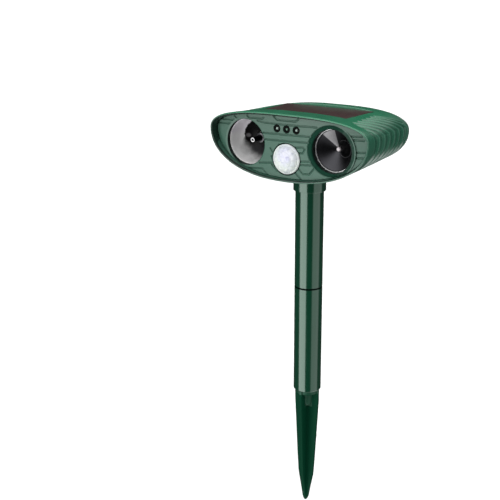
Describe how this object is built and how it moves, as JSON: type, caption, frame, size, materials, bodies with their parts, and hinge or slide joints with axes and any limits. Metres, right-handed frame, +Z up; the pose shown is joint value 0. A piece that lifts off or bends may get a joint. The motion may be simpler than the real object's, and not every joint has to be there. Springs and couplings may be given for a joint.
{
  "type": "ultrasonic pest repeller",
  "caption": "Solar ultrasonic pest repeller: ribbed oval head with speaker, strobe and motion sensor on a push-fit pole with a cross-finned ground spike.",
  "frame": {"origin": "pole axis at the soil line, which is the flat underside of the spike's flange", "axes": "+Z up along the pole; the face with the speaker, strobe and sensor looks towards -Y; +X is to the right of someone facing it"},
  "size_m": [0.1446, 0.108, 0.3567],
  "materials": {
    "green_shell": "moulded green plastic, satin gloss",
    "pole_green": "very dark green glossy moulded tube",
    "face_green": "satin grey-green",
    "solar_cell": "dark brown-black under a clear resin",
    "foam_tape": "closed-cell foam",
    "chrome": "vacuum-metallised bowl",
    "smoked_metal": "turned dark metal",
    "silver_trim": "bright trim",
    "clear_lens": "clear moulded lens",
    "white_lens": "milky polyethylene",
    "black_plastic": "fine texture",
    "black_rubber": "soft matt rubber",
    "circuit_board": "solder mask",
    "steel": "zinc plated",
    "cell_wrap": "shrink wrap",
    "copper": "enamelled winding",
    "ferrite": "sintered ferrite",
    "wire_red": "lead insulation",
    "button_red": "moulded cap"
  },
  "bodies": {
    "spike": {"ground_spike": "pole_green"},
    "lower_pole": {"lower_pole": "pole_green"},
    "upper_pole": {"upper_pole": "pole_green"},
    "head": {"main_shell": "green_shell", "rear_cover": "green_shell", "face_panel": "face_green", "solar_panel": "solar_cell", "solar_tape": "foam_tape", "strobe_reflector": "chrome", "strobe_holder": "silver_trim", "strobe_lamp": "clear_lens", "strobe_board": "circuit_board", "speaker_basket": "black_plastic", "speaker_ring": "silver_trim", "speaker_cone": "smoked_metal", "speaker_pin": "silver_trim", "voice_coil": "copper", "speaker_magnet": "ferrite", "sensor_lens": "white_lens", "sensor_can": "steel", "sensor_board": "circuit_board", "light_holder_left": "black_plastic", "light_left": "clear_lens", "light_holder_centre": "black_plastic", "light_centre": "clear_lens", "light_holder_right": "black_plastic", "light_right": "clear_lens", "light_board": "circuit_board", "main_board": "circuit_board", "controller_chip": "black_plastic", "drive_transformer": "ferrite", "battery_tray": "black_plastic", "battery_cell_1": "cell_wrap", "battery_cell_2": "cell_wrap", "battery_cell_3": "cell_wrap", "controls_board": "circuit_board", "rotary_switch": "black_plastic", "tact_switch": "black_plastic", "charge_socket": "steel", "cover_screw_1": "steel", "cover_screw_2": "steel", "cover_screw_3": "steel", "cover_screw_4": "steel", "solar_lead": "wire_red", "strobe_lead": "wire_red", "speaker_lead": "wire_red", "sensor_lead": "wire_red", "battery_lead": "wire_red"},
    "dial": {"mode_dial": "black_plastic", "dial_spindle": "steel"},
    "button": {"power_button": "button_red"},
    "flap": {"port_flap": "black_rubber"}
  },
  "joints": [
    {"name": "lower_pole_pull", "type": "slide", "parent": "spike", "child": "lower_pole", "axis": [0, 0, 1], "range_m": [0, 0.02]},
    {"name": "upper_pole_pull", "type": "slide", "parent": "lower_pole", "child": "upper_pole", "axis": [0, 0, 1], "range_m": [0, 0.0205]},
    {"name": "head_swivel", "type": "hinge", "parent": "upper_pole", "child": "head", "pos_m": [0, 0, 0.1944], "axis": [0, 0, 1], "continuous": true},
    {"name": "mode_dial_turn", "type": "hinge", "parent": "head", "child": "dial", "pos_m": [-0.026, 0.0616, 0.2214], "axis": [0, 1, 0], "range_deg": [0, 225]},
    {"name": "power_button_press", "type": "slide", "parent": "head", "child": "button", "axis": [0, -1, 0], "range_m": [0, 0.0015], "stiffness_N_per_m": 150, "springref_m": -0.002},
    {"name": "port_flap_lift", "type": "hinge", "parent": "head", "child": "flap", "pos_m": [0.024, 0.0631, 0.227], "axis": [1, 0, 0], "range_deg": [0, 110]}
  ]
}
